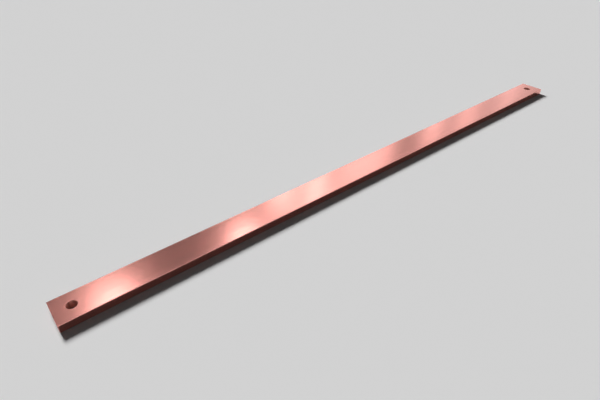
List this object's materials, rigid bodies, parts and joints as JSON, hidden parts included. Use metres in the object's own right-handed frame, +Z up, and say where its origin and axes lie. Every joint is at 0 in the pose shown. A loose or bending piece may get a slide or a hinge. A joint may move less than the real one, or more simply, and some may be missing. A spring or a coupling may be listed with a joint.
{
  "type": "bus bar",
  "caption": "Flat copper bus bar: a straight drawn strip of rectangular section with a round terminal hole near each end, for linking electrical terminals.",
  "frame": {"origin": "middle of the underside, between the two holes", "axes": "+X along the bar, +Y across its width, +Z up through its thickness"},
  "size_m": [0.47, 0.02, 0.005],
  "materials": {
    "copper": "satin"
  },
  "bodies": {
    "root": {"bus_bar": "copper"}
  },
  "joints": []
}
